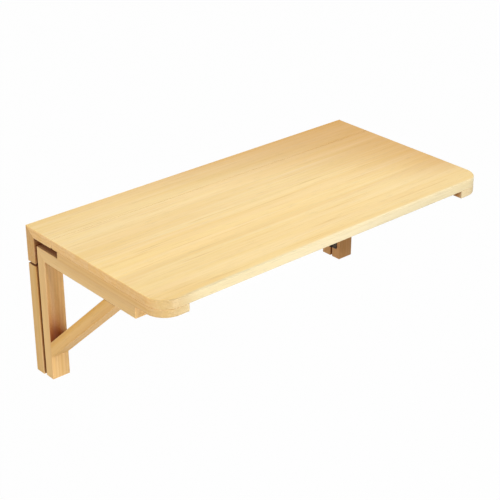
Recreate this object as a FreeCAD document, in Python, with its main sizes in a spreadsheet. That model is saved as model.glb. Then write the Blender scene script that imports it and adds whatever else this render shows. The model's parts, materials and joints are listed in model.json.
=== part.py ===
import FreeCAD, Part
import math
import os
import Sketcher
from FreeCAD import Matrix, Placement, Rotation, Vector

# Wall mounted drop leaf table, in millimetres. +X runs along the wall, +Y points into the wall and
# +Z is up. The origin is the centre of the wall rail's back face.

doc = FreeCAD.newDocument("wall_drop_leaf_table")
sheet = doc.addObject("Spreadsheet::Sheet", "Dims")

sizes = (
    # Boards
    ("table_width", 800, "along the wall"),
    ("table_depth", 400, "wall to front edge with the leaf up"),
    ("board_thickness", 18, "shelf and leaf"),
    ("corner_radius", 40, "front corners of the leaf"),
    ("top_round", 2, "rounding of the upper edges"),
    ("arris", 1, "easing of the other long edges"),
    ("seam_gap", 0.5, "shelf to leaf"),
    ("seam_arris", 0.3, "easing of the upper edges of the seam"),
    ("seam_bevel", 2.5, "lower edges of the seam, clear of the hinge barrels"),
    ("batten_width", 60, "under each end of the leaf"),
    ("batten_thickness", 15, "under each end of the leaf"),
    ("batten_setback", 17, "hinged edge of the leaf to the batten"),
    # Frame on the wall
    ("rail_depth", 24, "wall to the front of the rail and of the wall posts"),
    ("rail_height", 72, "top surface to the rail's lower edge"),
    ("post_gap", 5, "rail down to the wall posts"),
    ("post_width", 40, "wall post, inwards from the table's end"),
    ("frame_drop", 307, "top surface to the foot of the posts"),
    # Swing brackets
    ("bracket_gap", 5, "wall post to bracket post"),
    ("bracket_inset", 2, "table's end to the bracket's outer face"),
    ("bracket_post_depth", 23, "bracket post, front to back"),
    ("arm_height", 24, "bracket arm, top to bottom"),
    ("arm_reach", 327, "wall to the arm's tip"),
    ("arm_clearance", 0.3, "arm below the batten"),
    ("brace_width", 24, "across the brace"),
    ("brace_foot", 169, "arm down to the brace's upper edge, on the post"),
    ("brace_head", 183, "post out to the brace's upper edge, under the arm"),
    ("fold_clearance", 3, "folded bracket to the batten of the hanging leaf"),
    # Butt hinges
    ("hinge_length", 50, "along the pin"),
    ("plate_width", 18, "pin centre to the plate's outer edge"),
    ("plate_thickness", 2, "hinge plate"),
    ("plate_corner", 3, "outer corners of the plates"),
    ("barrel_radius", 3, "outside of the knuckles"),
    ("barrel_gap", 0.3, "between knuckles, and barrel to the other plate"),
    ("pin_radius", 1.5, "hinge pin"),
    ("pin_clearance", 0.05, "pin in its knuckles, on the radius"),
    ("pin_head_radius", 2.4, "peened ends of the pin"),
    ("pin_head_height", 0.8, "peened ends of the pin"),
    ("leaf_hinge_inset", 130, "table's end to the centre of an outer leaf hinge"),
    ("bracket_hinge_margin", 23, "end of a wall post to the nearer hinge"),
    # Screws and dowels
    ("screw_radius", 1.75, "hinge screw shank"),
    ("screw_head_radius", 3.5, "hinge screw head"),
    ("screw_length", 14, "hinge screw"),
    ("screw_spacing", 28, "the two screws of a plate, along the pin"),
    ("screw_offset", 11, "pin centre to the screws"),
    ("long_screw_radius", 2.25, "batten and shelf screw shank"),
    ("long_screw_head_radius", 4.5, "batten and shelf screw head"),
    ("batten_screw_length", 26, "up through the batten"),
    ("batten_screw_margin", 45, "batten's ends to its outer screws"),
    ("shelf_screw_length", 50, "from the back of the rail into the shelf"),
    ("shelf_screw_margin", 50, "table's end to the outer shelf screws"),
    ("screw_clearance", 0.1, "screw in its hole, on the radius"),
    ("tip_clearance", 1, "beyond the tip of a screw"),
    ("wall_hole_radius", 2.5, "wall screw holes"),
    ("wall_hole_sink", 2.5, "countersink of the wall screw holes"),
    ("wall_hole_drop", 45, "top surface to the holes in the rail"),
    ("rail_hole_inner", 200, "between the two inner holes of the rail"),
    ("rail_hole_outer", 600, "between the two outer holes of the rail"),
    ("post_hole_margin", 18, "end of a wall post to its nearer hole"),
    ("dowel_radius", 3, "bracket dowels"),
    ("dowel_reach", 8, "dowel on each side of its joint"),
    ("dowel_spacing", 18, "between the two dowels of a joint"),
    ("dowel_clearance", 0.05, "dowel in its hole, on the radius and at the ends"),
)
for row, (alias, value, note) in enumerate(sizes, start=1):
    sheet.set("A%d" % row, note)
    sheet.set("B%d" % row, str(value))
    sheet.setAlias("B%d" % row, alias)
doc.recompute()

# Levels and distances that follow from the sizes. Distances count from the wall.
half_width = "(Dims.table_width / 2)"
top = "(Dims.rail_height / 2)"
underside = "(%s - Dims.board_thickness)" % top
rail_bottom = "(-Dims.rail_height / 2)"
post_top = "(%s - Dims.post_gap)" % rail_bottom
foot = "(%s - Dims.frame_drop)" % top
bracket_width = "(Dims.post_width - Dims.bracket_inset)"
bracket_pin = "(Dims.rail_depth + Dims.bracket_gap / 2)"
bracket_back = "(Dims.rail_depth + Dims.bracket_gap)"
bracket_front = "(%s + Dims.bracket_post_depth)" % bracket_back
shelf_depth = "(%s + %s + Dims.fold_clearance + Dims.batten_thickness - Dims.seam_gap / 2)" % (
    bracket_pin, bracket_width)
leaf_pin = "(%s + Dims.seam_gap / 2)" % shelf_depth
leaf_back = "(%s + Dims.seam_gap)" % shelf_depth
batten_back = "(%s + Dims.batten_setback)" % leaf_back
batten_bottom = "(%s - Dims.batten_thickness)" % underside
arm_top = "(%s - Dims.arm_clearance)" % batten_bottom
arm_bottom = "(%s - Dims.arm_height)" % arm_top
brace_drop = "(Dims.brace_width * sqrt(1 + (Dims.brace_foot / Dims.brace_head) ^ 2))"
brace_run = "(%s * Dims.brace_head / Dims.brace_foot)" % brace_drop
brace_foot_top = "(%s - Dims.brace_foot)" % arm_bottom
brace_head_back = "(%s + Dims.brace_head)" % bracket_front
upper_hinge = "(%s - Dims.bracket_hinge_margin - Dims.hinge_length / 2)" % post_top
lower_hinge = "(%s + Dims.bracket_hinge_margin + Dims.hinge_length / 2)" % foot
hinge_screw_depth = "(Dims.screw_length - Dims.plate_thickness + Dims.tip_clearance)"
screw_hole_radius = "(Dims.screw_radius + Dims.screw_clearance)"
long_hole_radius = "(Dims.long_screw_radius + Dims.screw_clearance)"
dowel_hole_radius = "(Dims.dowel_radius + Dims.dowel_clearance)"
dowel_hole_depth = "(Dims.dowel_reach + Dims.dowel_clearance)"

sides = ("left", "right")
bracket_levels = {"upper": upper_hinge, "lower": lower_hinge}
leaf_hinges = {
    "left": "(Dims.leaf_hinge_inset - %s)" % half_width,
    "middle": "0",
    "right": "(%s - Dims.leaf_hinge_inset)" % half_width,
}
post_start = {"left": "-" + half_width, "right": "(%s - Dims.post_width)" % half_width}
bracket_start = {
    "left": "(Dims.bracket_inset - %s)" % half_width,
    "right": "(%s - Dims.post_width)" % half_width,
}
bracket_pin_x = {
    "left": "(Dims.post_width + Dims.plate_thickness - %s)" % half_width,
    "right": "(%s - Dims.post_width - Dims.plate_thickness)" % half_width,
}
nodes = {}


def number(expression):
    return float(sheet.evalExpression(expression))


def minus(expression):
    return "-" + expression


def near(a, b):
    return abs(a - b) < 1e-4


def originPart(body, role):
    return next(part for part in body.Origin.OriginFeatures if part.Role == role)


def newBody(label):
    body = doc.addObject("PartDesign::Body", label)
    body.Label = label
    nodes[label] = body
    return body


def newSketch(body, role, offset="0"):
    sketch = body.newObject("Sketcher::SketchObject", body.Name + "_sketch")
    sketch.AttachmentSupport = [(originPart(body, role), "")]
    sketch.MapMode = "FlatFace"
    sketch.setExpression("AttachmentOffset.Base.z", offset)
    return sketch


def pinPoint(sketch, geometry, point, x, y):
    for kind, expression in (("DistanceX", x), ("DistanceY", y)):
        rule = Sketcher.Constraint(kind, -1, 1, geometry, point, number(expression))
        index = sketch.addConstraint(rule)
        sketch.setExpression("Constraints[%d]" % index, expression)


def drawPolygon(sketch, points):
    corners = [Vector(number(x), number(y), 0) for x, y in points]
    count = len(corners)
    for i in range(count):
        sketch.addGeometry(Part.LineSegment(corners[i], corners[(i + 1) % count]))
    for i in range(count):
        sketch.addConstraint(Sketcher.Constraint("Coincident", i, 2, (i + 1) % count, 1))
    for i, (x, y) in enumerate(points):
        pinPoint(sketch, i, 1, x, y)


def drawCircles(sketch, centres, radius):
    for x, y in centres:
        middle = Vector(number(x), number(y), 0)
        index = sketch.addGeometry(Part.Circle(middle, Vector(0, 0, 1), number(radius)))
        pinPoint(sketch, index, 3, x, y)
        rule = sketch.addConstraint(Sketcher.Constraint("Radius", index, number(radius)))
        sketch.setExpression("Constraints[%d]" % rule, radius)


def pad(body, sketch, length):
    feature = body.newObject("PartDesign::Pad", body.Name + "_pad")
    feature.Profile = sketch
    feature.setExpression("Length", length)
    doc.recompute()
    return feature


def drill(body, sketch, depth):
    # A cut to this depth on both sides of the sketch's plane.
    before = body.Shape.Volume
    feature = body.newObject("PartDesign::Pocket", body.Name + "_holes")
    feature.Profile = sketch
    feature.SideType = "Symmetric"
    feature.setExpression("Length", "2 * %s" % depth)
    doc.recompute()
    if body.Shape.Volume > before - 1:
        raise RuntimeError(body.Label + ": a hole cuts nothing")
    return feature


def drillHoles(body, role, offset, centres, radius, depth):
    sketch = newSketch(body, role, offset)
    drawCircles(sketch, centres, radius)
    return drill(body, sketch, depth)


def dressEdges(body, kind, size, chosen):
    # Rounds or bevels the edges of the body's latest feature that the test picks.
    base = body.Tip
    names = ["Edge%d" % (i + 1) for i, edge in enumerate(base.Shape.Edges) if chosen(edge)]
    feature = body.newObject("PartDesign::" + kind, body.Name + "_edges")
    feature.Base = (base, names)
    feature.setExpression("Radius" if kind == "Fillet" else "Size", size)
    doc.recompute()
    return feature


def runsAlong(edge, direction):
    if not isinstance(edge.Curve, Part.Line):
        return False
    return abs(abs(edge.tangentAt(edge.FirstParameter).dot(direction)) - 1) < 1e-6


def liesAt(edge, axis, value):
    low = getattr(edge.BoundBox, axis + "Min")
    high = getattr(edge.BoundBox, axis + "Max")
    return near(low, value) and near(high, value)


def isRim(edge, axis, value):
    return isinstance(edge.Curve, Part.Circle) and liesAt(edge, axis, value)


# Timber: each member is a side profile, as distances from the wall and heights, run along X.
def timber(label, profile, start, width):
    body = newBody(label)
    sketch = newSketch(body, "YZ_Plane")
    drawPolygon(sketch, [(minus(distance), height) for distance, height in profile])
    pad(body, sketch, width)
    body.setExpression("Placement.Base.x", start)
    return body


def easeAlong(body, direction):
    dressEdges(body, "Fillet", "Dims.arris", lambda edge: runsAlong(edge, direction))


def makeRail():
    body = timber("wall_rail", [
        ("0", top),
        ("0", rail_bottom),
        ("Dims.rail_depth", rail_bottom),
        ("Dims.rail_depth", underside),
    ], minus(half_width), "Dims.table_width")
    lowest = number(rail_bottom)
    along = Vector(1, 0, 0)
    dressEdges(body, "Fillet", "Dims.arris",
               lambda edge: runsAlong(edge, along) and liesAt(edge, "Z", lowest))
    level = "(%s - Dims.wall_hole_drop)" % top
    places = ["(%s %s Dims.%s / 2)" % (half_width, sign, name)
              for name in ("rail_hole_inner", "rail_hole_outer") for sign in "-+"]
    drillHoles(body, "XZ_Plane", "Dims.rail_depth", [(x, level) for x in places],
               "Dims.wall_hole_radius", "(Dims.rail_depth + Dims.arris)")
    front = -number("Dims.rail_depth")
    dressEdges(body, "Chamfer", "Dims.wall_hole_sink", lambda edge: isRim(edge, "Y", front))
    drillHoles(body, "XZ_Plane", "0", shelfScrewHoles(), long_hole_radius, "Dims.rail_depth")
    dressEdges(body, "Chamfer", "(Dims.long_screw_head_radius - Dims.long_screw_radius)",
               lambda edge: isRim(edge, "Y", 0) and edge.Curve.Center.z > number(underside))


def shelfScrewPlaces():
    return ["Dims.shelf_screw_margin", half_width, "(Dims.table_width - Dims.shelf_screw_margin)"]


def shelfScrewHoles():
    level = "(%s - Dims.board_thickness / 2)" % top
    return [(x, level) for x in shelfScrewPlaces()]


def makeShelf():
    body = timber("fixed_shelf", [
        ("0", top),
        ("Dims.rail_depth", underside),
        ("(%s - Dims.seam_bevel)" % shelf_depth, underside),
        (shelf_depth, "(%s + Dims.seam_bevel)" % underside),
        (shelf_depth, top),
    ], minus(half_width), "Dims.table_width")
    upper = number(top)
    dressEdges(body, "Fillet", "Dims.top_round",
               lambda edge: runsAlong(edge, Vector(0, 1, 0)) and liesAt(edge, "Z", upper))
    seam = -number(shelf_depth)
    dressEdges(body, "Fillet", "Dims.seam_arris",
               lambda edge: runsAlong(edge, Vector(1, 0, 0)) and liesAt(edge, "Y", seam)
               and liesAt(edge, "Z", upper))
    drillHoles(body, "XZ_Plane", "0", shelfScrewHoles(), long_hole_radius,
               "(Dims.shelf_screw_length + Dims.tip_clearance)")
    distance = "(%s - Dims.screw_offset)" % leaf_pin
    drillHoles(body, "XY_Plane", underside, leafScrewHoles(distance), screw_hole_radius,
               hinge_screw_depth)


def leafScrewHoles(distance):
    return [("(%s + %s %s Dims.screw_spacing / 2)" % (half_width, x, sign), minus(distance))
            for x in leaf_hinges.values() for sign in "-+"]


def makeLeaf():
    body = timber("leaf_board", [
        (leaf_back, top),
        (leaf_back, "(%s + Dims.seam_bevel)" % underside),
        ("(%s + Dims.seam_bevel)" % leaf_back, underside),
        ("Dims.table_depth", underside),
        ("Dims.table_depth", top),
    ], minus(half_width), "Dims.table_width")
    front = -number("Dims.table_depth")
    back = -number(leaf_back)
    upper = number(top)
    lower = number(underside)
    dressEdges(body, "Fillet", "Dims.corner_radius",
               lambda edge: runsAlong(edge, Vector(0, 0, 1)) and liesAt(edge, "Y", front))
    dressEdges(body, "Fillet", "Dims.top_round",
               lambda edge: liesAt(edge, "Z", upper) and not liesAt(edge, "Y", back))
    dressEdges(body, "Fillet", "Dims.seam_arris",
               lambda edge: runsAlong(edge, Vector(1, 0, 0)) and liesAt(edge, "Y", back)
               and liesAt(edge, "Z", upper))
    dressEdges(body, "Fillet", "Dims.arris",
               lambda edge: runsAlong(edge, Vector(1, 0, 0)) and liesAt(edge, "Y", front)
               and liesAt(edge, "Z", lower))
    distance = "(%s + Dims.screw_offset)" % leaf_pin
    drillHoles(body, "XY_Plane", underside, leafScrewHoles(distance), screw_hole_radius,
               hinge_screw_depth)
    centres = []
    for side in sides:
        middle = battenMiddle(side)
        centres += [("(%s + %s)" % (half_width, middle), minus(y)) for y in battenScrewPlaces()]
    drillHoles(body, "XY_Plane", underside, centres, long_hole_radius,
               "(Dims.batten_screw_length - Dims.batten_thickness + Dims.tip_clearance)")


def battenMiddle(side):
    inset = "(%s - Dims.batten_width / 2)" % half_width
    return minus(inset) if side == "left" else inset


def battenScrewPlaces():
    first = "(%s + Dims.batten_screw_margin)" % batten_back
    last = "(Dims.table_depth - Dims.batten_screw_margin)"
    return [first, "((%s + %s) / 2)" % (first, last), last]


def makeBatten(side):
    start = minus(half_width) if side == "left" else "(%s - Dims.batten_width)" % half_width
    body = timber(side + "_batten", [
        (batten_back, underside),
        (batten_back, batten_bottom),
        ("Dims.table_depth", batten_bottom),
        ("Dims.table_depth", underside),
    ], start, "Dims.batten_width")
    front = -number("Dims.table_depth")
    lower = number(batten_bottom)
    end = 0 if side == "left" else number("Dims.batten_width")
    dressEdges(body, "Fillet", "Dims.corner_radius",
               lambda edge: runsAlong(edge, Vector(0, 0, 1)) and liesAt(edge, "Y", front)
               and liesAt(edge, "X", end))
    dressEdges(body, "Fillet", "Dims.arris", lambda edge: liesAt(edge, "Z", lower))
    centres = [("(Dims.batten_width / 2)", minus(y)) for y in battenScrewPlaces()]
    drillHoles(body, "XY_Plane", batten_bottom, centres, long_hole_radius,
               "(Dims.batten_thickness + Dims.arris)")
    dressEdges(body, "Chamfer", "(Dims.long_screw_head_radius - Dims.long_screw_radius)",
               lambda edge: isRim(edge, "Z", lower))


def hingeScrewLevels():
    return ["(%s %s Dims.screw_spacing / 2)" % (level, sign)
            for level in bracket_levels.values() for sign in "-+"]


def makeWallPost(side):
    body = timber(side + "_wall_post", [
        ("0", post_top),
        ("0", foot),
        ("Dims.rail_depth", foot),
        ("Dims.rail_depth", post_top),
    ], post_start[side], "Dims.post_width")
    easeAlong(body, Vector(0, 0, 1))
    inner = "Dims.post_width" if side == "left" else "0"
    distance = "(%s - Dims.screw_offset)" % bracket_pin
    drillHoles(body, "YZ_Plane", inner, [(minus(distance), z) for z in hingeScrewLevels()],
               screw_hole_radius, hinge_screw_depth)
    levels = ["(%s - Dims.post_hole_margin)" % post_top, "(%s + Dims.post_hole_margin)" % foot]
    drillHoles(body, "XZ_Plane", "Dims.rail_depth",
               [("(Dims.post_width / 2)", z) for z in levels],
               "Dims.wall_hole_radius", "(Dims.rail_depth + Dims.arris)")
    front = -number("Dims.rail_depth")
    dressEdges(body, "Chamfer", "Dims.wall_hole_sink", lambda edge: isRim(edge, "Y", front))


# Swing bracket: post and arm meet in a mitre, and the brace is cut to both. Two dowels in each joint.
mitre_distance = "((%s + %s) / 2)" % (bracket_back, bracket_front)
mitre_level = "((%s + %s) / 2)" % (arm_top, arm_bottom)
mitre_angle = "atan(Dims.arm_height / Dims.bracket_post_depth)"
brace_foot_level = "(%s - %s / 2)" % (brace_foot_top, brace_drop)
brace_head_distance = "(%s + %s / 2)" % (brace_head_back, brace_run)
dowel_places = ["((%s %s Dims.dowel_spacing) / 2)" % (bracket_width, sign) for sign in "-+"]


def boreMitre(body):
    sketch = newSketch(body, "XY_Plane", mitre_level)
    sketch.AttachmentOffset = Placement(Vector(), Rotation(Vector(1, 0, 0), 45))
    sketch.setExpression("AttachmentOffset.Base.y", minus(mitre_distance))
    sketch.setExpression("AttachmentOffset.Rotation.Angle", mitre_angle)
    drawCircles(sketch, [(x, "0") for x in dowel_places], dowel_hole_radius)
    drill(body, sketch, dowel_hole_depth)


def boreFoot(body):
    drillHoles(body, "XZ_Plane", bracket_front, [(x, brace_foot_level) for x in dowel_places],
               dowel_hole_radius, dowel_hole_depth)


def boreHead(body):
    drillHoles(body, "XY_Plane", arm_bottom,
               [(x, minus(brace_head_distance)) for x in dowel_places],
               dowel_hole_radius, dowel_hole_depth)


def makeBracket(side):
    start = bracket_start[side]
    post = timber(side + "_bracket_post", [
        (bracket_back, arm_top),
        (bracket_back, foot),
        (bracket_front, foot),
        (bracket_front, arm_bottom),
    ], start, bracket_width)
    easeAlong(post, Vector(0, 0, 1))
    boreMitre(post)
    boreFoot(post)
    inner = bracket_width if side == "left" else "0"
    distance = "(%s + Dims.screw_offset)" % bracket_pin
    drillHoles(post, "YZ_Plane", inner, [(minus(distance), z) for z in hingeScrewLevels()],
               screw_hole_radius, hinge_screw_depth)

    arm = timber(side + "_bracket_arm", [
        (bracket_back, arm_top),
        (bracket_front, arm_bottom),
        ("Dims.arm_reach", arm_bottom),
        ("Dims.arm_reach", arm_top),
    ], start, bracket_width)
    tip = -number("Dims.arm_reach")
    dressEdges(arm, "Fillet", "Dims.arris",
               lambda edge: runsAlong(edge, Vector(0, 1, 0)) or liesAt(edge, "Y", tip))
    boreMitre(arm)
    boreHead(arm)

    brace = timber(side + "_bracket_brace", [
        (bracket_front, brace_foot_top),
        (bracket_front, "(%s - %s)" % (brace_foot_top, brace_drop)),
        ("(%s + %s)" % (brace_head_back, brace_run), arm_bottom),
        (brace_head_back, arm_bottom),
    ], start, bracket_width)
    slope = Vector(0, -number("Dims.brace_head"), number("Dims.brace_foot"))
    easeAlong(brace, slope.normalize())
    boreFoot(brace)
    boreHead(brace)


def makeDowels(side):
    length = 2 * number("Dims.dowel_reach")
    radius = number("Dims.dowel_radius")
    lean = math.radians(number("%s / 1 deg" % mitre_angle))
    joints = (
        (mitre_distance, mitre_level, Vector(0, -math.sin(lean), math.cos(lean))),
        (bracket_front, brace_foot_level, Vector(0, 1, 0)),
        (brace_head_distance, arm_bottom, Vector(0, 0, 1)),
    )
    solids = []
    for distance, level, direction in joints:
        for x in dowel_places:
            middle = Vector(number(bracket_start[side]) + number(x), -number(distance), number(level))
            start = middle - direction * (length / 2)
            solids.append(Part.makeCylinder(radius, length, start, direction))
    group(side + "_bracket_dowels", solids)


def group(label, solids):
    feature = doc.addObject("Part::Feature", label)
    feature.Label = label
    feature.Shape = Part.makeCompound(solids)
    feature.Placement = Placement()
    nodes[label] = feature


# Butt hinge, drawn about its pin along Z. A plate's free face passes through the pin's centre, and
# the plate lies on the +X side of it.
knuckle_pitch = "(Dims.hinge_length / 5)"
plate_start = "(Dims.barrel_radius + Dims.barrel_gap)"


def drawKnuckle(sketch):
    # Barrel outline that opens into the plate's thickness.
    radius = number("Dims.barrel_radius")
    thickness = number("Dims.plate_thickness")
    reach = number(plate_start)
    root = Vector(math.sqrt(radius ** 2 - thickness ** 2), -thickness, 0)
    crown = Vector(radius, 0, 0)
    outline = Part.Arc(crown, Vector(-radius, 0, 0), root)
    sketch.addGeometry(outline)
    sketch.addGeometry(Part.LineSegment(root, Vector(reach, -thickness, 0)))
    sketch.addGeometry(Part.LineSegment(Vector(reach, -thickness, 0), Vector(reach, 0, 0)))
    sketch.addGeometry(Part.LineSegment(Vector(reach, 0, 0), crown))
    for first, end, second, start in ((0, 2, 1, 1), (1, 2, 2, 1), (2, 2, 3, 1), (3, 2, 0, 1)):
        sketch.addConstraint(Sketcher.Constraint("Coincident", first, end, second, start))
    sketch.addConstraint(Sketcher.Constraint("Coincident", 0, 3, -1, 1))
    rule = sketch.addConstraint(Sketcher.Constraint("Radius", 0, radius))
    sketch.setExpression("Constraints[%d]" % rule, "Dims.barrel_radius")
    sketch.addConstraint(Sketcher.Constraint("PointOnObject", 0, 1, -1))
    sketch.addConstraint(Sketcher.Constraint("Horizontal", 1))
    pinPoint(sketch, 1, 2, plate_start, "-Dims.plate_thickness")
    pinPoint(sketch, 3, 1, plate_start, "0")


def makePlate(label, firstKnuckle, knuckles):
    body = newBody(label)
    sketch = newSketch(body, "XY_Plane", "-Dims.hinge_length / 2")
    drawPolygon(sketch, [
        (plate_start, "0"),
        (plate_start, "-Dims.plate_thickness"),
        ("Dims.plate_width", "-Dims.plate_thickness"),
        ("Dims.plate_width", "0"),
    ])
    pad(body, sketch, "Dims.hinge_length")

    start = "(%d * %s + Dims.barrel_gap / 2 - Dims.hinge_length / 2)" % (firstKnuckle, knuckle_pitch)
    sketch = newSketch(body, "XY_Plane", start)
    drawKnuckle(sketch)
    knuckle = pad(body, sketch, "(%s - Dims.barrel_gap)" % knuckle_pitch)
    row = body.newObject("PartDesign::LinearPattern", label + "_knuckles")
    row.Originals = [knuckle]
    row.Direction = (originPart(body, "Z_Axis"), [""])
    row.setExpression("Length", "%d * %s" % (2 * (knuckles - 1), knuckle_pitch))
    row.Occurrences = knuckles
    body.Tip = row
    doc.recompute()

    drillHoles(body, "XY_Plane", "0", [("0", "0")], "(Dims.pin_radius + Dims.pin_clearance)",
               "Dims.hinge_length")
    centres = [("Dims.screw_offset", "(%sDims.screw_spacing / 2)" % sign) for sign in "-+"]
    drillHoles(body, "XZ_Plane", "0", centres, screw_hole_radius, "(2 * Dims.plate_thickness)")
    dressEdges(body, "Chamfer", "(Dims.screw_head_radius - Dims.screw_radius)",
               lambda edge: isRim(edge, "Y", 0))
    outer = number("Dims.plate_width")
    dressEdges(body, "Fillet", "Dims.plate_corner",
               lambda edge: runsAlong(edge, Vector(0, 1, 0)) and liesAt(edge, "X", outer))
    return body


def makePin(label):
    body = newBody(label)
    sketch = newSketch(body, "XZ_Plane")
    end = "(Dims.hinge_length / 2)"
    tip = "(%s + Dims.pin_head_height)" % end
    drawPolygon(sketch, [
        ("0", minus(tip)),
        ("Dims.pin_radius", minus(tip)),
        ("Dims.pin_head_radius", minus(end)),
        ("Dims.pin_radius", minus(end)),
        ("Dims.pin_radius", end),
        ("Dims.pin_head_radius", end),
        ("Dims.pin_radius", tip),
        ("0", tip),
    ])
    return revolve(body, sketch)


def revolve(body, sketch):
    feature = body.newObject("PartDesign::Revolution", body.Name + "_turned")
    feature.Profile = sketch
    feature.ReferenceAxis = (sketch, ["V_Axis"])
    feature.Angle = 360
    doc.recompute()
    return body


def axes(x, y):
    z = x.cross(y)
    return Rotation(Matrix(x.x, y.x, z.x, 0, x.y, y.y, z.y, 0, x.z, y.z, z.z, 0, 0, 0, 0, 1))


def makeHinge(label, fixedPlate, movingPlate, facing, place):
    # The fixed plate lies towards the wall, the moving plate away from it.
    turn = axes(Vector(0, 1, 0), facing)
    flip = Rotation(Vector(0, 1, 0), 180)
    pieces = (
        (makePlate(label + fixedPlate, 0, 3), turn),
        (makePlate(label + movingPlate, 1, 2), turn * flip),
        (makePin(label + "_pin"), turn),
    )
    for body, rotation in pieces:
        body.Placement = Placement(Vector(), rotation)
        for axis, expression in zip("xyz", place):
            body.setExpression("Placement.Base." + axis, expression)


def makeHinges():
    level = "(%s - Dims.plate_thickness)" % underside
    for name, x in leaf_hinges.items():
        makeHinge(name + "_leaf_hinge", "_shelf_plate", "_leaf_plate", Vector(0, 0, -1),
                  (x, minus(leaf_pin), level))
    for side in sides:
        inwards = Vector(1, 0, 0) if side == "left" else Vector(-1, 0, 0)
        for name, z in bracket_levels.items():
            makeHinge("%s_%s_hinge" % (side, name), "_wall_plate", "_bracket_plate", inwards,
                      (bracket_pin_x[side], minus(bracket_pin), z))


# Countersunk wood screws: one pattern for each length, head flush at the origin and tip down -Z.
def makeScrewPattern(label, radius, head, length):
    body = doc.addObject("PartDesign::Body", label)
    sketch = newSketch(body, "XZ_Plane")
    drawPolygon(sketch, [
        ("0", "0"),
        (head, "0"),
        (radius, "(%s - %s)" % (radius, head)),
        (radius, "(2 * %s - %s)" % (radius, length)),
        ("0", minus(length)),
    ])
    return revolve(body, sketch)


def screwsAt(pattern, places, inwards):
    # Copies of a screw pattern with their heads at these places, driven the way inwards points.
    turn = Rotation(Vector(0, 0, -1), inwards)
    solids = []
    for place in places:
        solid = pattern.Shape.Solids[0].copy()
        solid.Placement = Placement(place, turn)
        solids.append(solid)
    return solids


def makeScrews():
    hingeScrew = makeScrewPattern("hinge_screw", "Dims.screw_radius", "Dims.screw_head_radius",
                                  "Dims.screw_length")
    battenScrew = makeScrewPattern("batten_screw", "Dims.long_screw_radius",
                                   "Dims.long_screw_head_radius", "Dims.batten_screw_length")
    shelfScrew = makeScrewPattern("shelf_screw", "Dims.long_screw_radius",
                                  "Dims.long_screw_head_radius", "Dims.shelf_screw_length")
    offset = number("Dims.screw_offset")
    half = number(half_width)

    level = number(underside) - number("Dims.plate_thickness")
    for label, distance in (("shelf_hinge_screws", number(leaf_pin) - offset),
                            ("leaf_hinge_screws", number(leaf_pin) + offset)):
        spots = [number(x) - half for x, y in leafScrewHoles("0")]
        places = [Vector(x, -distance, level) for x in spots]
        group(label, screwsAt(hingeScrew, places, Vector(0, 0, 1)))

    for side in sides:
        x = number(bracket_pin_x[side])
        outwards = Vector(-1, 0, 0) if side == "left" else Vector(1, 0, 0)
        for label, distance in (("_post_hinge_screws", number(bracket_pin) - offset),
                                ("_bracket_hinge_screws", number(bracket_pin) + offset)):
            places = [Vector(x, -distance, number(z)) for z in hingeScrewLevels()]
            group(side + label, screwsAt(hingeScrew, places, outwards))
        places = [Vector(number(battenMiddle(side)), -number(y), number(batten_bottom))
                  for y in battenScrewPlaces()]
        group(side + "_batten_screws", screwsAt(battenScrew, places, Vector(0, 0, 1)))

    places = [Vector(number(x) - half, 0, number(z)) for x, z in shelfScrewHoles()]
    group("shelf_screws", screwsAt(shelfScrew, places, Vector(0, -1, 0)))


makeRail()
makeShelf()
makeLeaf()
for side in sides:
    makeBatten(side)
    makeWallPost(side)
    makeBracket(side)
    makeDowels(side)
makeHinges()
makeScrews()
doc.recompute()

for item in doc.Objects:
    if "Invalid" in item.State or "Error" in item.State:
        raise RuntimeError("%s failed: %s" % (item.Label, item.State))
for label, item in nodes.items():
    if item.Shape.isNull() or not item.Shape.isValid() or not item.Shape.Solids:
        raise RuntimeError(label + " has no valid solid")

os.makedirs("parts", exist_ok=True)
for label, item in nodes.items():
    item.Shape.exportStep("parts/%s.step" % label)
print("%d nodes, %d solids" % (len(nodes), sum(len(item.Shape.Solids) for item in nodes.values())))
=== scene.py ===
import json
import math
import random

import bmesh
import bpy
import numpy as np
from mathutils import Euler, Matrix, Vector


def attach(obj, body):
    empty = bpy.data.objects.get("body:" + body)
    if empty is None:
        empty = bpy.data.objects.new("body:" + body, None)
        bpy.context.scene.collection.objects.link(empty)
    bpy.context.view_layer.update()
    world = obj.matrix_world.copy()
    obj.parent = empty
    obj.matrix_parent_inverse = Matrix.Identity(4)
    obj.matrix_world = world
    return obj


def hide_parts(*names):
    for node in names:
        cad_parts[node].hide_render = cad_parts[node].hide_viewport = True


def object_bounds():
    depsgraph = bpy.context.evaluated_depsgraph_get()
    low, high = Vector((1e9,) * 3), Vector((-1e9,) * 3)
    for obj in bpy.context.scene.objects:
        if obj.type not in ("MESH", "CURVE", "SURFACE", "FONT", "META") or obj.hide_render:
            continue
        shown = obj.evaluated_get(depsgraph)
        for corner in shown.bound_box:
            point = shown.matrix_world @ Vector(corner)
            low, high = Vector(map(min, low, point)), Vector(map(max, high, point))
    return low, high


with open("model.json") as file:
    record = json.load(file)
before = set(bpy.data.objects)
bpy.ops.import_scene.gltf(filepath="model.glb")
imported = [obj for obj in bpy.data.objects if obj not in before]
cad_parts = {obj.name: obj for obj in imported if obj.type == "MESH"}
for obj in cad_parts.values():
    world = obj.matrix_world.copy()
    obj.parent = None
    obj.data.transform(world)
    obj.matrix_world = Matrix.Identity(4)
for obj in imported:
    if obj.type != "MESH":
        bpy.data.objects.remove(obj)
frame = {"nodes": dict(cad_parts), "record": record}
cadBox = [list(corner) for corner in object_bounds()]
nodes = frame["nodes"]
bodyOf = {name: body for body, names in frame["record"]["behaviour"]["bodies"].items() for name in names}
tableRight, tableBack = cadBox[1][0], cadBox[1][1]
tableDepth = tableBack - cadBox[0][1]  # the wall is at y = 0, the front edge at y = -tableDepth
alongX, alongY, alongZ = (1, 0, 0), (0, 1, 0), (0, 0, 1)
forward = (0, -1, 0)
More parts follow.
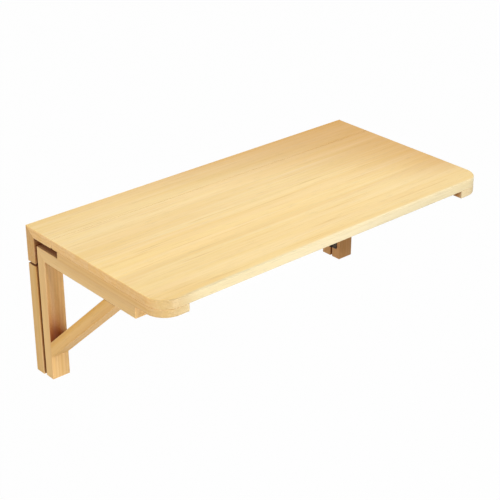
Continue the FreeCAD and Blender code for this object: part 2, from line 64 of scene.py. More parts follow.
weldDistance = 1e-6  # joins the doubled corners of a CAD mesh
noiseMiddle = 0.5
scene = bpy.context.scene
scene.view_settings.view_transform = "Standard"
print("frame loaded,", len(nodes), "nodes")


def addNode(tree, kind, **settings):
    node = tree.nodes.new("ShaderNode" + kind)
    for name, value in settings.items():
        setattr(node, name, value)
    return node


def feed(tree, socket, value):
    if isinstance(value, bpy.types.NodeSocket):
        tree.links.new(value, socket)
    else:
        socket.default_value = value


def calc(tree, operation, *values):
    node = addNode(tree, "Math", operation=operation)
    for socket, value in zip(node.inputs, values):
        feed(tree, socket, value)
    return node.outputs[0]


def vectorCalc(tree, operation, first, second=None, output="Vector"):
    node = addNode(tree, "VectorMath", operation=operation)
    feed(tree, node.inputs[0], first)
    if second is not None:
        feed(tree, node.inputs[3 if operation == "SCALE" else 1], second)
    return node.outputs[output]


def ease(tree, value, low, high):  # 0 at low, 1 at high, smooth between
    node = addNode(tree, "MapRange", interpolation_type="SMOOTHSTEP")
    for socket, number in zip(node.inputs, (value, low, high, 0.0, 1.0)):
        feed(tree, socket, number)
    return node.outputs[0]


def addSplit(tree, vector):
    split = addNode(tree, "SeparateXYZ")
    feed(tree, split.inputs[0], vector)
    return split.outputs


def noiseOf(tree, vector, stretch, detail, roughness, output="Fac"):
    mapping = addNode(tree, "Mapping")
    feed(tree, mapping.inputs["Vector"], vector)
    mapping.inputs["Scale"].default_value = stretch
    noise = addNode(tree, "TexNoise")
    feed(tree, noise.inputs["Vector"], mapping.outputs[0])
    noise.inputs["Scale"].default_value = 1.0
    noise.inputs["Detail"].default_value = detail
    noise.inputs["Roughness"].default_value = roughness
    return noise.outputs[output]


def mixColor(tree, share, first, second):
    node = addNode(tree, "Mix", data_type="RGBA")
    feed(tree, node.inputs[0], share)
    feed(tree, node.inputs[6], first)
    feed(tree, node.inputs[7], second)
    return node.outputs[2]


def weigh(tree, base, marks, weights):  # base, plus each mark's distance from its middle times its weight
    total = base
    for name, weight in weights.items():
        if name in marks:
            socket, middle = marks[name]
            part = calc(tree, "MULTIPLY_ADD", socket, weight, -weight * middle)
            total = calc(tree, "ADD", total, part)
    return total


def edgeMask(tree, radius, low, high):  # 1 on the arrises, 0 on flat faces
    bevel = addNode(tree, "Bevel", samples=6)
    bevel.inputs["Radius"].default_value = radius
    geometry = addNode(tree, "NewGeometry")
    likeness = vectorCalc(tree, "DOT_PRODUCT", bevel.outputs[0], geometry.outputs["Normal"], "Value")
    return ease(tree, calc(tree, "SUBTRACT", 1.0, likeness), low, high)


def addBump(tree, shader, height, strength, depth):
    bump = addNode(tree, "Bump")
    bump.inputs["Strength"].default_value = strength
    bump.inputs["Distance"].default_value = depth
    feed(tree, bump.inputs["Height"], height)
    tree.links.new(bump.outputs[0], shader.inputs["Normal"])


def startMaterial(name):
    material = bpy.data.materials.new(name)
    material.use_nodes = True
    tree = material.node_tree
    tree.nodes.clear()
    shader = addNode(tree, "BsdfPrincipled")
    output = addNode(tree, "OutputMaterial")
    tree.links.new(shader.outputs[0], output.inputs["Surface"])
    return material, tree, shader


pineLook = {
    "tones": {
        "early": (0.820, 0.520, 0.215, 1.0),  # wide pale part of a growth ring
        "late": (0.690, 0.370, 0.120, 1.0),  # narrow dark part
        "boardEarly": (0.830, 0.610, 0.265, 1.0),  # the same on the face of the boards
        "boardLate": (0.760, 0.490, 0.170, 1.0),
        "paleTone": (0.895, 0.770, 0.500, 1.0),  # palest timber; along the leaf's front edge it is a painted highlight
        "edgeHalfShade": (0.745, 0.630, 0.390, 1.0),  # the painted highlight, dimmer further left
        "edgeShadeLeft": (0.570, 0.395, 0.182, 1.0),  # painted shade at the strip's left end
        "redTone": (0.500, 0.200, 0.090, 1.0),  # redder, darker timber; on the right bracket it is painted shade under the table
        "honey": (0.600, 0.318, 0.060, 1.0),  # deep orange; towards the back right corner of the boards it is painted shade
        "warm": (0.640, 0.285, 0.110, 1.0),  # painted bounce light between the timbers of a bracket
        "warmPale": (0.800, 0.400, 0.165, 1.0),  # the same painted bounce light on the left bracket's post
        "corner": (0.310, 0.095, 0.034, 1.0),  # painted shade in corners and gaps
    },
    "noise": {  # how often in a metre along the grain and across it, then detail and roughness
        "wave": (1.5, 11.0, 2.0, 0.5),
        "uneven": (0.7, 26.0, 1.0, 0.5),
        "ragged": (5.0, 160.0, 2.0, 0.5),
        "presence": (0.9, 16.0, 1.0, 0.5),
        "layer": (1.6, 7.0, 3.0, 0.55),
        "fibre": (7.0, 520.0, 4.0, 0.6),
        "streak": (2.0, 60.0, 3.0, 0.60),
        "fineStreak": (3.6, 230.0, 3.0, 0.55),
        "thread": (7.0, 280.0, 1.0, 0.5),
        "drift": (0.8, 7.0, 2.0, 0.5),
        "pore": (30.0, 900.0, 1.0, 0.5),
        "rub": (30.0, 30.0, 3.0, 0.5),
    },
    "logShift": 3.0,  # how far apart the pieces lie in their logs, in metres
    "heartSide": (0.03, 0.09),  # from a piece to the heart of its log
    "heartBelow": (-0.09, -0.04),
    "flatHeart": (-0.16, -0.12),  # the same for a board sawn along the rings
    "flatCurve": 0.3,  # how much the rings still curve across such a board
    "ringWidth": 0.0070,
    "ringShow": 0.88,
    "flatShow": 0.60,  # the same on boards sawn along the rings
    "endShow": 0.16,  # rings show this much more on end grain
    "lateRise": (0.15, 0.80),  # where in a ring the late wood comes up
    "lateFall": (0.80, 1.00),  # and goes
    "lateUsual": 0.3,
    "ragged": 0.5,  # how far the rings' edges fray, in rings
    "uneven": 0.012,  # how much the rings' spacing varies, in metres
    "wander": 0.016,  # how far the rings wave, in metres
    "layerThrough": 170.0,  # layers in a metre, through a board sawn along the rings
    "poreRange": (0.60, 0.72),
    "poreUsual": 0.1,
    "endRange": (0.70, 0.95),  # how squarely a face has to cross the grain to be end grain
    "arrisRadius": 0.0014,
    "arrisRange": (0.01, 0.16),
    "tone": {"fibre": 0.12, "streak": 0.10, "fineStreak": 0.08, "drift": 0.08, "layer": 0.14, "pore": -0.13,
             "endGrain": -0.02, "rubbed": 0.36},
    "richness": {"drift": -0.10, "streak": -0.25, "fineStreak": -0.20, "rubbed": -0.12},
    "gloss": {"fibre": 0.14, "late": -0.05, "endGrain": 0.14, "rubbed": -0.10},
    "relief": {"fibre": 0.5, "late": 0.25, "pore": -0.7},
    "roughness": 0.46,
    "specular": 0.025,
    "bumpStrength": 0.35,
    "bumpDepth": 0.00018,
}
boardLook = {  # shelf and leaf
    "staveEdges": (0.0, 0.083, 0.128, 0.196, 0.280),  # distance of each stave's back edge from the wall
    "staveSlide": 4.0,  # how far the staves are moved along the log, in metres
    "staveShift": 0.16,  # and across it
    "staveLeast": 0.12,
    "glueLine": 0.0009,
    "threadRange": (0.60, 0.76),  # sparse dark threads
    "threadLate": 0.7,  # how far they take the colour of late wood
    "shadeBelowRange": (-0.2, -0.8),  # painted shade: faces turned down take the darker, redder colours of the bars
    "shadeReach": 0.118,  # painted shade: square metres between a point and shadeBeyond past the back right corner
    "shadeBeyond": 0.1,
    "shadeFront": 0.12,  # it fades out over this depth at the front edge
    "tone": {"endGrain": 0.065, "stave": 0.04, "glue": -0.06, "thread": -0.05},
    "specular": 0.38,
    "coat": 0.06,
    "coatRoughness": 0.34,
}
frontEdgeLook = {  # painted highlight along the front edge, at the left only on the edge itself, and there painted shade
    "share": 0.95,
    "fade": 0.22,  # less of it at the right end
    "fadeAlong": (0.28, 0.36),  # from x to x
    "shadeAlong": (-0.395, -0.30),
    "middleAlong": (-0.30, 0.05),
    "width": 0.008,  # on the top
    "curve": 0.060,  # round the corners
    "edgeRange": (0.05, 0.35),  # how far forward a face of the edge looks
    "roundRange": (0.05, 0.45),  # the rounded upper edge looks forward and up
    # painted shade on the rounded upper front edge
    "tone": {"rounded": -0.11},
}
cornerLook = {  # painted shade in corners and gaps: reach in metres, and how open a point is where the shade is full and where it ends
    "bar": {"reach": 0.072, "range": (0.20, 0.92)},
    "batten": {"reach": 0.072, "range": (0.42, 1.00), "bareRange": (-0.8, -0.2)},  # on its inner face only
    "arm": {"reach": 0.072, "range": (0.04, 0.74), "bareRange": (0.2, 0.8)},  # its front end has none
    "leftPost": {"reach": 0.115, "range": (0.23, 0.58), "warm": "warmPale", "warmRange": (0.34, 0.70),
                 "lean": (1.3, 0.0, -0.8)},
    "rightPost": {"reach": 0.115, "range": (0.16, 0.78), "warm": "warm", "warmRange": (0.50, 0.90)},
}


def grainNoise(tree, place, kind, output="Fac"):
    along, across, detail, roughness = pineLook["noise"][kind]
    return noiseOf(tree, place, (along, across, across), detail, roughness, output)


def staveValues(tree, place, seed):  # three random values for each stave, and 1 on the glue lines
    draw = random.Random(seed)
    edges = boardLook["staveEdges"]
    depth = calc(tree, "MULTIPLY", addSplit(tree, place)[1], -1.0 / tableDepth)
    ramp = addNode(tree, "ValToRGB")
    ramp.color_ramp.interpolation = "CONSTANT"
    elements = ramp.color_ramp.elements
    while len(elements) < len(edges):
        elements.new(0.5)
    for element, edge in zip(elements, edges):
        element.position = edge / tableDepth
        element.color = (draw.random(), draw.random(), draw.random(), 1.0)
    feed(tree, ramp.inputs[0], depth)
    split = addNode(tree, "SeparateColor")
    feed(tree, split.inputs[0], ramp.outputs[0])
    nearest = None
    for edge in edges[2:]:  # glue lines inside the leaf
        away = calc(tree, "ABSOLUTE", calc(tree, "SUBTRACT", depth, edge / tableDepth))
        nearest = away if nearest is None else calc(tree, "MINIMUM", nearest, away)
    width = boardLook["glueLine"] / tableDepth
    glue = calc(tree, "SUBTRACT", 1.0, ease(tree, nearest, 0.5 * width, 1.5 * width))
    return split.outputs[0], split.outputs[1], split.outputs[2], glue


def growthRings(tree, place, heart, flat):  # 1 in the late wood of the rings round the heart of the log
    look = pineLook
    wave = vectorCalc(tree, "SUBTRACT", grainNoise(tree, place, "wave", "Color"), [noiseMiddle] * 3)
    wave = vectorCalc(tree, "SCALE", wave, look["wander"])
    across = vectorCalc(tree, "SUBTRACT", vectorCalc(tree, "ADD", place, wave), heart)
    curve = [max(part, look["flatCurve"]) for part in flat[1:]] if flat else [1.0, 1.0]
    across = vectorCalc(tree, "MULTIPLY", across, [0.0] + curve)
    radius = vectorCalc(tree, "LENGTH", across, output="Value")
    uneven = calc(tree, "SUBTRACT", grainNoise(tree, place, "uneven"), noiseMiddle)
    radius = calc(tree, "MULTIPLY_ADD", uneven, look["uneven"], radius)
    turns = calc(tree, "DIVIDE", radius, look["ringWidth"])
    turns = calc(tree, "MULTIPLY_ADD", grainNoise(tree, place, "ragged"), look["ragged"], turns)
    ring = calc(tree, "FRACT", turns)
    gone = ease(tree, ring, *look["lateFall"])
    return calc(tree, "MULTIPLY", ease(tree, ring, *look["lateRise"]), calc(tree, "SUBTRACT", 1.0, gone))


def backRightShade(tree, coords):  # painted shade: 1 at the back right corner of the boards
    look = boardLook
    x, y, _ = addSplit(tree, coords.outputs["Object"])
    fromCorner = calc(tree, "MULTIPLY", calc(tree, "SUBTRACT", tableRight + look["shadeBeyond"], x),
                      calc(tree, "SUBTRACT", tableBack + look["shadeBeyond"], y))
    fromFront = ease(tree, y, -tableDepth, look["shadeFront"] - tableDepth)
    return calc(tree, "MULTIPLY", ease(tree, fromCorner, look["shadeReach"], 0.0), fromFront)


def frontEdgeLight(tree, coords):  # colour and share of the painted highlight and shade along the front edge, and 1 on its rounded upper edge
    look, tones = frontEdgeLook, pineLook["tones"]
    x, y, _ = addSplit(tree, coords.outputs["Object"])
    _, normalY, normalZ = addSplit(tree, coords.outputs["Normal"])
    ahead = calc(tree, "MULTIPLY", normalY, -1.0)
    toRight = ease(tree, x, *look["shadeAlong"])
    color = mixColor(tree, ease(tree, x, *look["middleAlong"]), tones["edgeHalfShade"], tones["paleTone"])
    color = mixColor(tree, toRight, tones["edgeShadeLeft"], color)
    onTop = calc(tree, "MULTIPLY", toRight, ease(tree, y, look["width"] - tableDepth, -tableDepth))
    onEdge = calc(tree, "MULTIPLY", ease(tree, ahead, *look["edgeRange"]),
                  ease(tree, y, look["curve"] - tableDepth, -tableDepth))
    most = calc(tree, "MULTIPLY_ADD", ease(tree, x, *look["fadeAlong"]), -look["fade"], look["share"])
    share = calc(tree, "MULTIPLY", calc(tree, "MAXIMUM", onTop, onEdge), most)
    rounded = ease(tree, calc(tree, "MULTIPLY", ahead, normalZ), *look["roundRange"])
    return color, share, rounded


def cornerShade(tree, coords, timber, look, bareSide):  # painted shade, darker in corners and gaps by how open a point is
    normal, tones = coords.outputs["Normal"], pineLook["tones"]
    closeness = addNode(tree, "AmbientOcclusion", samples=8)
    closeness.inputs["Distance"].default_value = look["reach"]
    if "lean" in look:  # on forward faces, counts what is near on this side for more, so the painted shade leans that way
        ahead = calc(tree, "MAXIMUM", calc(tree, "MULTIPLY", addSplit(tree, normal)[1], -1.0), 0.0)
        leaned = vectorCalc(tree, "ADD", normal, vectorCalc(tree, "SCALE", look["lean"], ahead))
        toWorld = addNode(tree, "VectorTransform", vector_type="NORMAL", convert_from="OBJECT",
                          convert_to="WORLD")
        feed(tree, toWorld.inputs[0], leaned)
        feed(tree, closeness.inputs["Normal"], toWorld.outputs[0])
    openness = closeness.outputs["AO"]
    clear = ease(tree, openness, *look["range"])
    if bareSide:  # faces turned to this side stay free of the painted shade
        turned = vectorCalc(tree, "DOT_PRODUCT", normal, bareSide, "Value")
        clear = calc(tree, "MAXIMUM", clear, ease(tree, turned, *look["bareRange"]))
    if "warm" in look:  # redder where light comes back from the timbers around
        timber = mixColor(tree, ease(tree, openness, *look["warmRange"]), tones[look["warm"]], timber)
    return mixColor(tree, clear, tones["corner"], timber)


# grain is the direction of the log, flat the one across the rings of a board sawn along them
def pineMaterial(name, grain, seed, tone=0.0, blend=None, flat=None, staves=False, paintedFrontEdge=False,
                 corner="bar", bareSide=None):
    look, tones, draw = pineLook, pineLook["tones"], random.Random(seed)
    material, tree, shader = startMaterial(name)
    coords = addNode(tree, "TexCoord")
    normal = coords.outputs["Normal"]
    grain = Vector(grain).normalized()
    log = addNode(tree, "Mapping")  # turns the piece so that the log's length runs along X
    feed(tree, log.inputs["Vector"], coords.outputs["Object"])
    log.inputs["Rotation"].default_value = grain.rotation_difference(Vector(alongX)).to_euler()
    shift = look["logShift"]
    log.inputs["Location"].default_value = [draw.uniform(-shift, shift) for _ in range(3)]
    place = log.outputs[0]
    heart = (0.0, draw.choice((-1, 1)) * draw.uniform(*look["heartSide"]), draw.uniform(*look["heartBelow"]))
    if flat:
        heart = [draw.uniform(*look["flatHeart"]) * part for part in flat]
    heart = [start + part for start, part in zip(log.inputs["Location"].default_value, heart)]
    marks, weights = {}, dict(look["tone"])
    if staves:
        staveTone, staveShift, staveSlide, glue = staveValues(tree, coords.outputs["Object"], seed)
        slide = addNode(tree, "CombineXYZ")
        feed(tree, slide.inputs[0], calc(tree, "MULTIPLY", staveSlide, boardLook["staveSlide"]))
        feed(tree, slide.inputs[1], calc(tree, "MULTIPLY_ADD", staveShift, boardLook["staveShift"],
                                         boardLook["staveLeast"]))
        place = vectorCalc(tree, "ADD", place, slide.outputs[0])
        thread = ease(tree, grainNoise(tree, place, "thread"), *boardLook["threadRange"])
        marks.update(stave=(staveTone, noiseMiddle), glue=(glue, 0.0), thread=(thread, 0.0))
        weights.update(boardLook["tone"])
    # rings, end grain, fibres, pores, slow change of tone, and lighter edges: partly wear, partly a painted
    # highlight
    late = growthRings(tree, place, heart, flat)
    facing = calc(tree, "ABSOLUTE", vectorCalc(tree, "DOT_PRODUCT", normal, grain, "Value"))
    endGrain = ease(tree, facing, *look["endRange"])
    show = calc(tree, "MULTIPLY_ADD", endGrain, look["endShow"], look["flatShow" if flat else "ringShow"])
    show = calc(tree, "MULTIPLY", grainNoise(tree, place, "presence"), show)
    lateShare = calc(tree, "MULTIPLY", late, show)
    if flat:
        along, across, detail, roughness = look["noise"]["layer"]
        stretch = [along] + [look["layerThrough"] if part else across for part in flat[1:]]
        marks["layer"] = (noiseOf(tree, place, stretch, detail, roughness), noiseMiddle)
    for kind in ("fibre", "streak", "fineStreak", "drift"):
        marks[kind] = (grainNoise(tree, place, kind), noiseMiddle)
    pore = ease(tree, grainNoise(tree, place, "pore"), *look["poreRange"])
    # lighter arrises: partly wear, partly a painted highlight
    rubbed = calc(tree, "MULTIPLY", edgeMask(tree, look["arrisRadius"], *look["arrisRange"]),
                  grainNoise(tree, coords.outputs["Object"], "rub"))
    marks.update(late=(late, look["lateUsual"]), endGrain=(endGrain, 0.0), pore=(pore, look["poreUsual"]),
                 rubbed=(rubbed, 0.0))
    # colour of the timber
    timber = mixColor(tree, lateShare, tones["early"], tones["late"])
    if blend:
        timber = mixColor(tree, blend[1], timber, tones[blend[0]])
    if staves:
        threaded = calc(tree, "MAXIMUM", lateShare, calc(tree, "MULTIPLY", thread, boardLook["threadLate"]))
        boardFace = mixColor(tree, threaded, tones["boardEarly"], tones["boardLate"])
        # painted shade under the boards
        shadeBelow = ease(tree, addSplit(tree, normal)[2], *boardLook["shadeBelowRange"])
        timber = mixColor(tree, calc(tree, "MAXIMUM", endGrain, shadeBelow), boardFace, timber)
        # painted shade towards the back right corner
        timber = mixColor(tree, backRightShade(tree, coords), timber, tones["honey"])
    # painted highlight along the front edge, with painted shade at its left end and on its rounded upper edge
    if paintedFrontEdge:
        edgeColor, edgeShare, rounded = frontEdgeLight(tree, coords)
        timber = mixColor(tree, edgeShare, timber, edgeColor)
        marks["rounded"] = (rounded, 0.0)
        weights.update(frontEdgeLook["tone"])
    # painted shade in corners and gaps
    if corner:
        timber = cornerShade(tree, coords, timber, cornerLook[corner], bareSide)
    color = addNode(tree, "HueSaturation")
    feed(tree, color.inputs["Color"], timber)
    feed(tree, color.inputs["Saturation"], weigh(tree, 1.0, marks, look["richness"]))
    feed(tree, color.inputs["Value"], weigh(tree, 1.0 + tone, marks, weights))
    tree.links.new(color.outputs[0], shader.inputs["Base Color"])
    tree.links.new(weigh(tree, look["roughness"], marks, look["gloss"]), shader.inputs["Roughness"])
    height = weigh(tree, 0.5, marks, look["relief"])
    addBump(tree, shader, height, look["bumpStrength"], look["bumpDepth"])
    shader.inputs["Specular IOR Level"].default_value = boardLook["specular"] if staves else look["specular"]
    shader.inputs["Coat Weight"].default_value = boardLook["coat"] if staves else 0.0
    shader.inputs["Coat Roughness"].default_value = boardLook["coatRoughness"]
    return material


def dress(nodeName, material):
    slots = nodes[nodeName].data.materials
    slots.clear()
    slots.append(material)


def weldedMesh(nodeName):
    mesh = bmesh.new()
    mesh.from_mesh(nodes[nodeName].data)
    bmesh.ops.remove_doubles(mesh, verts=mesh.verts, dist=weldDistance)
    return mesh


def barDirection(nodeName, leastAngle=0.02):  # along the longest edge between two faces that meet at an angle
    mesh = weldedMesh(nodeName)
    arrises = [edge for edge in mesh.edges
               if len(edge.link_faces) == 2 and edge.calc_face_angle() > leastAngle]
    first, second = max(arrises, key=lambda edge: edge.calc_length()).verts
    direction = second.co - first.co
    mesh.free()
    return direction


timberLook = {"boardSeed": 11, "railSeed": 23, "rail": (-0.085, ("redTone", 0.2)), "battenTone": -0.02,
              "dowelTone": -0.05}
bracketLook = {  # tone of each timber, and what is blended in
    "left": {"seed": 31, "wallPost": (-0.115, None), "post": (-0.01, ("paleTone", 0.10)),
             "arm": (0.015, ("paleTone", 0.17)), "brace": (0.06, ("honey", 0.30))},
    # the right bracket's redder, darker timbers are painted shade under the table
    "right": {"seed": 57, "wallPost": (-0.03, ("redTone", 0.5)), "post": (0.0, ("redTone", 0.5)),
              "arm": (0.0, ("redTone", 0.3)), "brace": (0.0, ("redTone", 0.3))},
}
boardSeed = timberLook["boardSeed"]
dress("fixed_shelf", pineMaterial("pineShelf", alongX, boardSeed, flat=alongZ, staves=True))
dress("leaf_board", pineMaterial("pineLeaf", alongX, boardSeed, flat=alongZ, staves=True, paintedFrontEdge=True,
                                 corner=None))
dress("wall_rail", pineMaterial("pineRail", alongX, timberLook["railSeed"], *timberLook["rail"], flat=alongY))
for side, look in bracketLook.items():
    seed = look["seed"]
    outward = (-1 if side == "left" else 1, 0, 0)
    dress(side + "_batten", pineMaterial(side + "PineBatten", alongY, seed, timberLook["battenTone"],
                                         flat=alongZ, paintedFrontEdge=True, corner="batten", bareSide=outward))
    dress(side + "_wall_post", pineMaterial(side + "PineWallPost", alongZ, seed + 1, *look["wallPost"]))
    dress(side + "_bracket_post", pineMaterial(side + "PineBracketPost", alongZ, seed + 2, *look["post"],
                                               corner=side + "Post"))
    dress(side + "_bracket_arm", pineMaterial(side + "PineBracketArm", alongY, seed + 3, *look["arm"],
                                              corner="arm", bareSide=forward))
    braceGrain = barDirection(side + "_bracket_brace")
    dress(side + "_bracket_brace", pineMaterial(side + "PineBrace", braceGrain, seed + 4, *look["brace"]))
    dress(side + "_bracket_dowels", pineMaterial(side + "BeechDowel", alongZ, seed + 5,
                                                 timberLook["dowelTone"]))
print("timber dressed")

bronzeLook = {
    "dark": (0.036, 0.029, 0.023, 1.0),
    "warm": (0.085, 0.058, 0.036, 1.0),
    "worn": (0.33, 0.23, 0.13, 1.0),
    "cloud": ((160.0, 160.0, 160.0), 4.0, 0.6),  # how often in a metre, then detail and roughness
    "speck": ((1900.0, 1900.0, 1900.0), 2.0, 0.5),
    "brush": ((90.0, 1600.0, 1600.0), 3.0, 0.5),
    "warmRange": (0.35, 0.70),
    "arrisRadius": 0.0006,
    "arrisRange": (0.02, 0.25),
    "gloss": {"speck": 0.16, "brush": 0.18, "rubbed": -0.12},
    "relief": {"speck": 0.6, "brush": 0.5},
    "metallic": 0.85,
    "bumpStrength": 0.25,
    "bumpDepth": 0.00006,
    "hinge": (0.42, 1.4),  # roughness and wear
    "screw": (0.34, 2.0),
}


def bronzeMaterial(name, roughness, wear):
    look = bronzeLook
    material, tree, shader = startMaterial(name)
    place = addNode(tree, "TexCoord").outputs["Object"]
    cloud = noiseOf(tree, place, *look["cloud"])
    base = mixColor(tree, ease(tree, cloud, *look["warmRange"]), look["dark"], look["warm"])
    rubbed = calc(tree, "MULTIPLY", edgeMask(tree, look["arrisRadius"], *look["arrisRange"]),
                  calc(tree, "MULTIPLY", cloud, wear))
    tree.links.new(mixColor(tree, rubbed, base, look["worn"]), shader.inputs["Base Color"])
    marks = {kind: (noiseOf(tree, place, *look[kind]), noiseMiddle) for kind in ("speck", "brush")}
    marks["rubbed"] = (rubbed, 0.0)
    tree.links.new(weigh(tree, roughness, marks, look["gloss"]), shader.inputs["Roughness"])
    addBump(tree, shader, weigh(tree, 0.5, marks, look["relief"]), look["bumpStrength"], look["bumpDepth"])
    shader.inputs["Metallic"].default_value = look["metallic"]
    return material


hingeBronze = bronzeMaterial("hingeBronze", *bronzeLook["hinge"])
screwBronze = bronzeMaterial("screwBronze", *bronzeLook["screw"])
for nodeName in nodes:
    if nodeName.endswith("_plate") or nodeName.endswith("_pin"):
        dress(nodeName, hingeBronze)
print("hinges dressed")

screwLook = {
    "digits": 4,  # sizes are rounded to a tenth of a millimetre
    "sides": 24,
    "smoothAngle": 32,  # degrees
    "pitch": 0.8,  # of the shank's radius
    "rowsPerTurn": 5,
    "threadDepth": 0.26,  # of the shank's radius
    "threadEnds": 0.25,  # share of the thread that fades out at each end
    "waist": 0.86,  # of the shank's radius, under the head
    "neck": 0.6,  # of the pitch, without thread
    "point": 1.6,  # length of the point, of the shank's radius
    "rimHeight": 0.00015,
    "rimIn": 0.6,  # of the rim's height
    "coneDepth": 0.9,  # of the head's radius, past which a CAD screw is all shank
    "crossReach": 0.62,  # of the head's radius
    "crossWidth": 0.17,
    "crossDepth": 0.42,
    "crossAbove": 0.0005,
    "crossFlare": (1.12, 0.42),  # size of the cross at its top and at its foot
}


def screwSeats(nodeName):  # head centre, outward direction, length, head and shank radius of each screw
    mesh = weldedMesh(nodeName)
    mesh.verts.index_update()
    seen, seats = set(), []
    for start in mesh.verts:
        if start.index in seen:
            continue
        seen.add(start.index)
        queue, island = [start], []
        while queue:
            vert = queue.pop()
            island.append(list(vert.co))
            for other in (edge.other_vert(vert) for edge in vert.link_edges):
                if other.index not in seen:
                    seen.add(other.index)
                    queue.append(other)
        points = np.array(island)
        low, high = points.min(0), points.max(0)
        axis = int(np.argmax(high - low))
        middle = (low + high) / 2
        across = np.hypot(*np.delete(points - middle, axis, 1).T)
        outward = np.zeros(3)
        outward[axis] = 1.0 if points[np.argmax(across)][axis] > middle[axis] else -1.0
        head = middle.copy()
        head[axis] = high[axis] if outward[axis] > 0 else low[axis]
        belowHead = np.abs(points[:, axis] - head[axis]) > screwLook["coneDepth"] * across.max()
        shank = across[belowHead].max()
        seats.append((Vector(head), Vector(outward), (high - low)[axis], across.max(), float(shank)))
    mesh.free()
    return seats


def crossCutter(headRadius):
    look = screwLook
    reach, half, deep = (look[part] * headRadius for part in ("crossReach", "crossWidth", "crossDepth"))
    corner = [(half, half), (half, reach), (-half, reach), (-half, half), (-reach, half), (-reach, -half),
              (-half, -half), (-half, -reach), (half, -reach), (half, -half), (reach, -half), (reach, half)]
    mesh = bmesh.new()
    rings = []
    for height, scale in zip((look["crossAbove"], -deep), look["crossFlare"]):
        rings.append([mesh.verts.new((x * scale, y * scale, height)) for x, y in corner])
    for i in range(len(corner)):
        j = (i + 1) % len(corner)
        mesh.faces.new((rings[0][i], rings[0][j], rings[1][j], rings[1][i]))
    mesh.faces.new(rings[0][::-1])
    mesh.faces.new(rings[1])
    bmesh.ops.recalc_face_normals(mesh, faces=mesh.faces)
    data = bpy.data.meshes.new("crossCutter")
    mesh.to_mesh(data)
    mesh.free()
    return data


def screwRows(length, headRadius, shankRadius, pitch):  # height, radius, share of thread, from the head down
    look = screwLook
    coneEnd = -(headRadius - shankRadius) - look["rimHeight"]
    neck = coneEnd - look["neck"] * pitch
    tipStart = -length + look["point"] * shankRadius
    rows = [(0.0, headRadius - look["rimHeight"] * look["rimIn"], 0.0), (-look["rimHeight"], headRadius, 0.0),
            (coneEnd, shankRadius * look["waist"], 0.0)]
    steps = max(2, round((neck - tipStart) / pitch * look["rowsPerTurn"]))
    for i in range(steps + 1):
        thread = min(1.0, i / steps / look["threadEnds"], (steps - i) / steps / look["threadEnds"])
        rows.append((neck + (tipStart - neck) * i / steps, shankRadius * (1 - look["threadDepth"]), thread))
    return rows


def screwMesh(length, headRadius, shankRadius):  # head at the origin, shank down Z
    look = screwLook
    sides, pitch = look["sides"], look["pitch"] * shankRadius
    mesh = bmesh.new()
    rings = []
    for z, radius, thread in screwRows(length, headRadius, shankRadius, pitch):
        ring = []
        for k in range(sides):
            turn = 2 * math.pi * k / sides
            crest = 1 - abs(2 * ((z / pitch + k / sides) % 1.0) - 1)
            out = radius + thread * shankRadius * look["threadDepth"] * crest ** 2
            ring.append(mesh.verts.new((out * math.cos(turn), out * math.sin(turn), z)))
        rings.append(ring)
    for upper, lower in zip(rings, rings[1:]):
        for k in range(sides):
            j = (k + 1) % sides
            mesh.faces.new((upper[k], lower[k], lower[j], upper[j]))
    mesh.faces.new(rings[0])
    tip = mesh.verts.new((0.0, 0.0, -length))
    for k in range(sides):
        mesh.faces.new((rings[-1][k], tip, rings[-1][(k + 1) % sides]))
    bmesh.ops.recalc_face_normals(mesh, faces=mesh.faces)
    data = bpy.data.meshes.new("screwBlank")
    mesh.to_mesh(data)
    mesh.free()
    blank = bpy.data.objects.new("screwBlank", data)
    cutter = bpy.data.objects.new("crossCutter", crossCutter(headRadius))
    for helper in (blank, cutter):
        scene.collection.objects.link(helper)
    cut = blank.modifiers.new("cross", "BOOLEAN")
    cut.operation, cut.object, cut.solver = "DIFFERENCE", cutter, "EXACT"
    bpy.context.view_layer.update()
    finished = bpy.data.meshes.new_from_object(blank.evaluated_get(bpy.context.evaluated_depsgraph_get()))
    for helper in (blank, cutter):
        bpy.data.objects.remove(helper)
    return finished


screwBlanks = {}


def makeScrews(nodeName, seed):
    draw = random.Random(seed)
    group = bmesh.new()
    for head, outward, *sizes in screwSeats(nodeName):
        key = tuple(round(size, screwLook["digits"]) for size in sizes)
        if key not in screwBlanks:
            screwBlanks[key] = screwMesh(*key)
        start = len(group.verts)
        group.from_mesh(screwBlanks[key])
        group.verts.ensure_lookup_table()
        turn = Matrix.Rotation(draw.uniform(0, math.pi / 2), 3, "Z")
        turn = outward.to_track_quat("Z", "Y").to_matrix() @ turn
        for vert in group.verts[start:]:
            vert.co = turn @ vert.co + head
    data = bpy.data.meshes.new(nodeName + "_turned")
    group.to_mesh(data)
    group.free()
    data.materials.append(screwBronze)
    for polygon in data.polygons:
        polygon.use_smooth = True
    data.set_sharp_from_angle(angle=math.radians(screwLook["smoothAngle"]))
    screws = bpy.data.objects.new(nodeName + "_turned", data)
    scene.collection.objects.link(screws)
    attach(screws, bodyOf[nodeName])
    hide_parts(nodeName)


for seed, nodeName in enumerate(sorted(name for name in nodes if name.endswith("_screws"))):
    makeScrews(nodeName, seed)
print("screws turned:", len(screwBlanks), "sizes")

floorLook = {"level": -0.95, "half": 14.0, "color": (0.42, 0.42, 0.41, 1.0), "whiteShare": 0.985}


def whiteRays(tree):  # 1 for rays that should meet the white surroundings
    path = addNode(tree, "LightPath")
    rays = calc(tree, "MAXIMUM", path.outputs["Is Camera Ray"], path.outputs["Is Glossy Ray"])
    return calc(tree, "MAXIMUM", rays, path.outputs["Is Transmission Ray"])


def mixShaders(tree, share, first, second, output):
    mix = addNode(tree, "MixShader")
    feed(tree, mix.inputs[0], share)
    tree.links.new(first.outputs[0], mix.inputs[1])
    tree.links.new(second.outputs[0], mix.inputs[2])
    tree.links.new(mix.outputs[0], addNode(tree, output).inputs["Surface"])


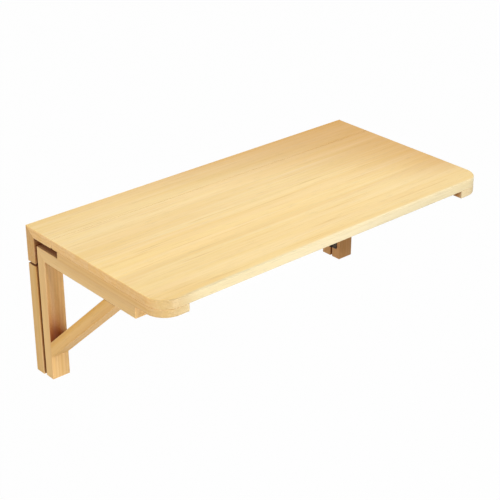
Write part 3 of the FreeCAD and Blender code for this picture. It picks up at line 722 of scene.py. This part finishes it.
def makeFloor():
    look = floorLook
    half, level = look["half"], look["level"]
    corners = [(x, y, level) for x, y in ((-half, -half), (half, -half), (half, half), (-half, half))]
    data = bpy.data.meshes.new("floor")
    data.from_pydata(corners, [], [(0, 1, 2, 3)])
    material = bpy.data.materials.new("paleFloor")
    material.use_nodes = True
    tree = material.node_tree
    tree.nodes.clear()
    matte = addNode(tree, "BsdfDiffuse")
    matte.inputs["Color"].default_value = look["color"]
    whiteShare = calc(tree, "MULTIPLY", whiteRays(tree), look["whiteShare"])
    mixShaders(tree, whiteShare, matte, addNode(tree, "Emission"), "OutputMaterial")
    data.materials.append(material)
    floor = bpy.data.objects.new("floor", data)
    scene.collection.objects.link(floor)


makeFloor()
skyLook = {
    "horizon": 0.20,
    "zenith": 0.37,
    "zenithHeight": 0.8,
    "side": 1.48,  # extra light of the large soft window on the left
    "sideFrom": (-0.90, -0.35, 0.26),
    "sidePower": 3.0,  # the higher, the smaller the window
    "white": (1.0, 1.0, 1.0, 1.0),
}


def makeSky():
    look = skyLook
    world = bpy.data.worlds.new("studio")
    scene.world = world
    world.use_nodes = True
    tree = world.node_tree
    tree.nodes.clear()
    soft, white = addNode(tree, "Background"), addNode(tree, "Background")
    for light in (soft, white):
        light.inputs["Color"].default_value = look["white"]
    direction = addNode(tree, "TexCoord").outputs["Generated"]
    sideFrom = Vector(look["sideFrom"]).normalized()
    toSide = calc(tree, "MAXIMUM", vectorCalc(tree, "DOT_PRODUCT", direction, sideFrom, "Value"), 0.0)
    window = calc(tree, "POWER", toSide, look["sidePower"])
    height = ease(tree, addSplit(tree, direction)[2], 0.0, look["zenithHeight"])
    around = calc(tree, "MULTIPLY_ADD", height, look["zenith"] - look["horizon"], look["horizon"])
    feed(tree, soft.inputs["Strength"], calc(tree, "MULTIPLY_ADD", window, look["side"], around))
    mixShaders(tree, whiteRays(tree), soft, white, "OutputWorld")


makeSky()
lampLook = {  # spread in degrees
    "key": {"place": (-0.64, -4.04, 3.68), "aim": (0.0, -0.2, 0.0), "size": 1.45, "power": 194.0,
            "spread": 180},
    "low": {"place": (-1.75, -0.65, -0.45), "aim": (-0.38, -0.05, -0.15), "size": 0.5, "power": 0.37,
            "spread": 60},
    "under": {"place": (-0.20, -1.3, -0.4), "aim": (-0.38, -0.05, -0.05), "size": 0.4, "power": 0.38,
              "spread": 45},
    "sheen": {"place": (1.5, 1.45, 1.65), "aim": (0.0, -0.2, 0.0), "size": 1.5, "power": 8.0,
              "spread": 180},
}
for lampName, look in lampLook.items():
    data = bpy.data.lights.new(lampName, "AREA")
    data.size = look["size"]
    data.energy = look["power"]
    data.spread = math.radians(look["spread"])
    lamp = bpy.data.objects.new(lampName, data)
    lamp.location = look["place"]
    lamp.visible_camera = False
    lamp.rotation_euler = (Vector(look["aim"]) - Vector(look["place"])).to_track_quat("-Z", "Y").to_euler()
    scene.collection.objects.link(lamp)
print("floor, sky and lamps placed")

cameraLook = {"place": (-1.53936, -1.92287, 1.09294), "tilt": 63.239, "turn": -41.17, "lens": 96.59,
              "sensor": 36.0}
cameraData = bpy.data.cameras.new("camera")
cameraData.lens = cameraLook["lens"]
cameraData.sensor_width = cameraLook["sensor"]
camera = bpy.data.objects.new("camera", cameraData)
camera.location = cameraLook["place"]
camera.rotation_euler = Euler((math.radians(cameraLook["tilt"]), 0.0, math.radians(cameraLook["turn"])))
scene.collection.objects.link(camera)
scene.camera = camera

bpy.context.view_layer.update()
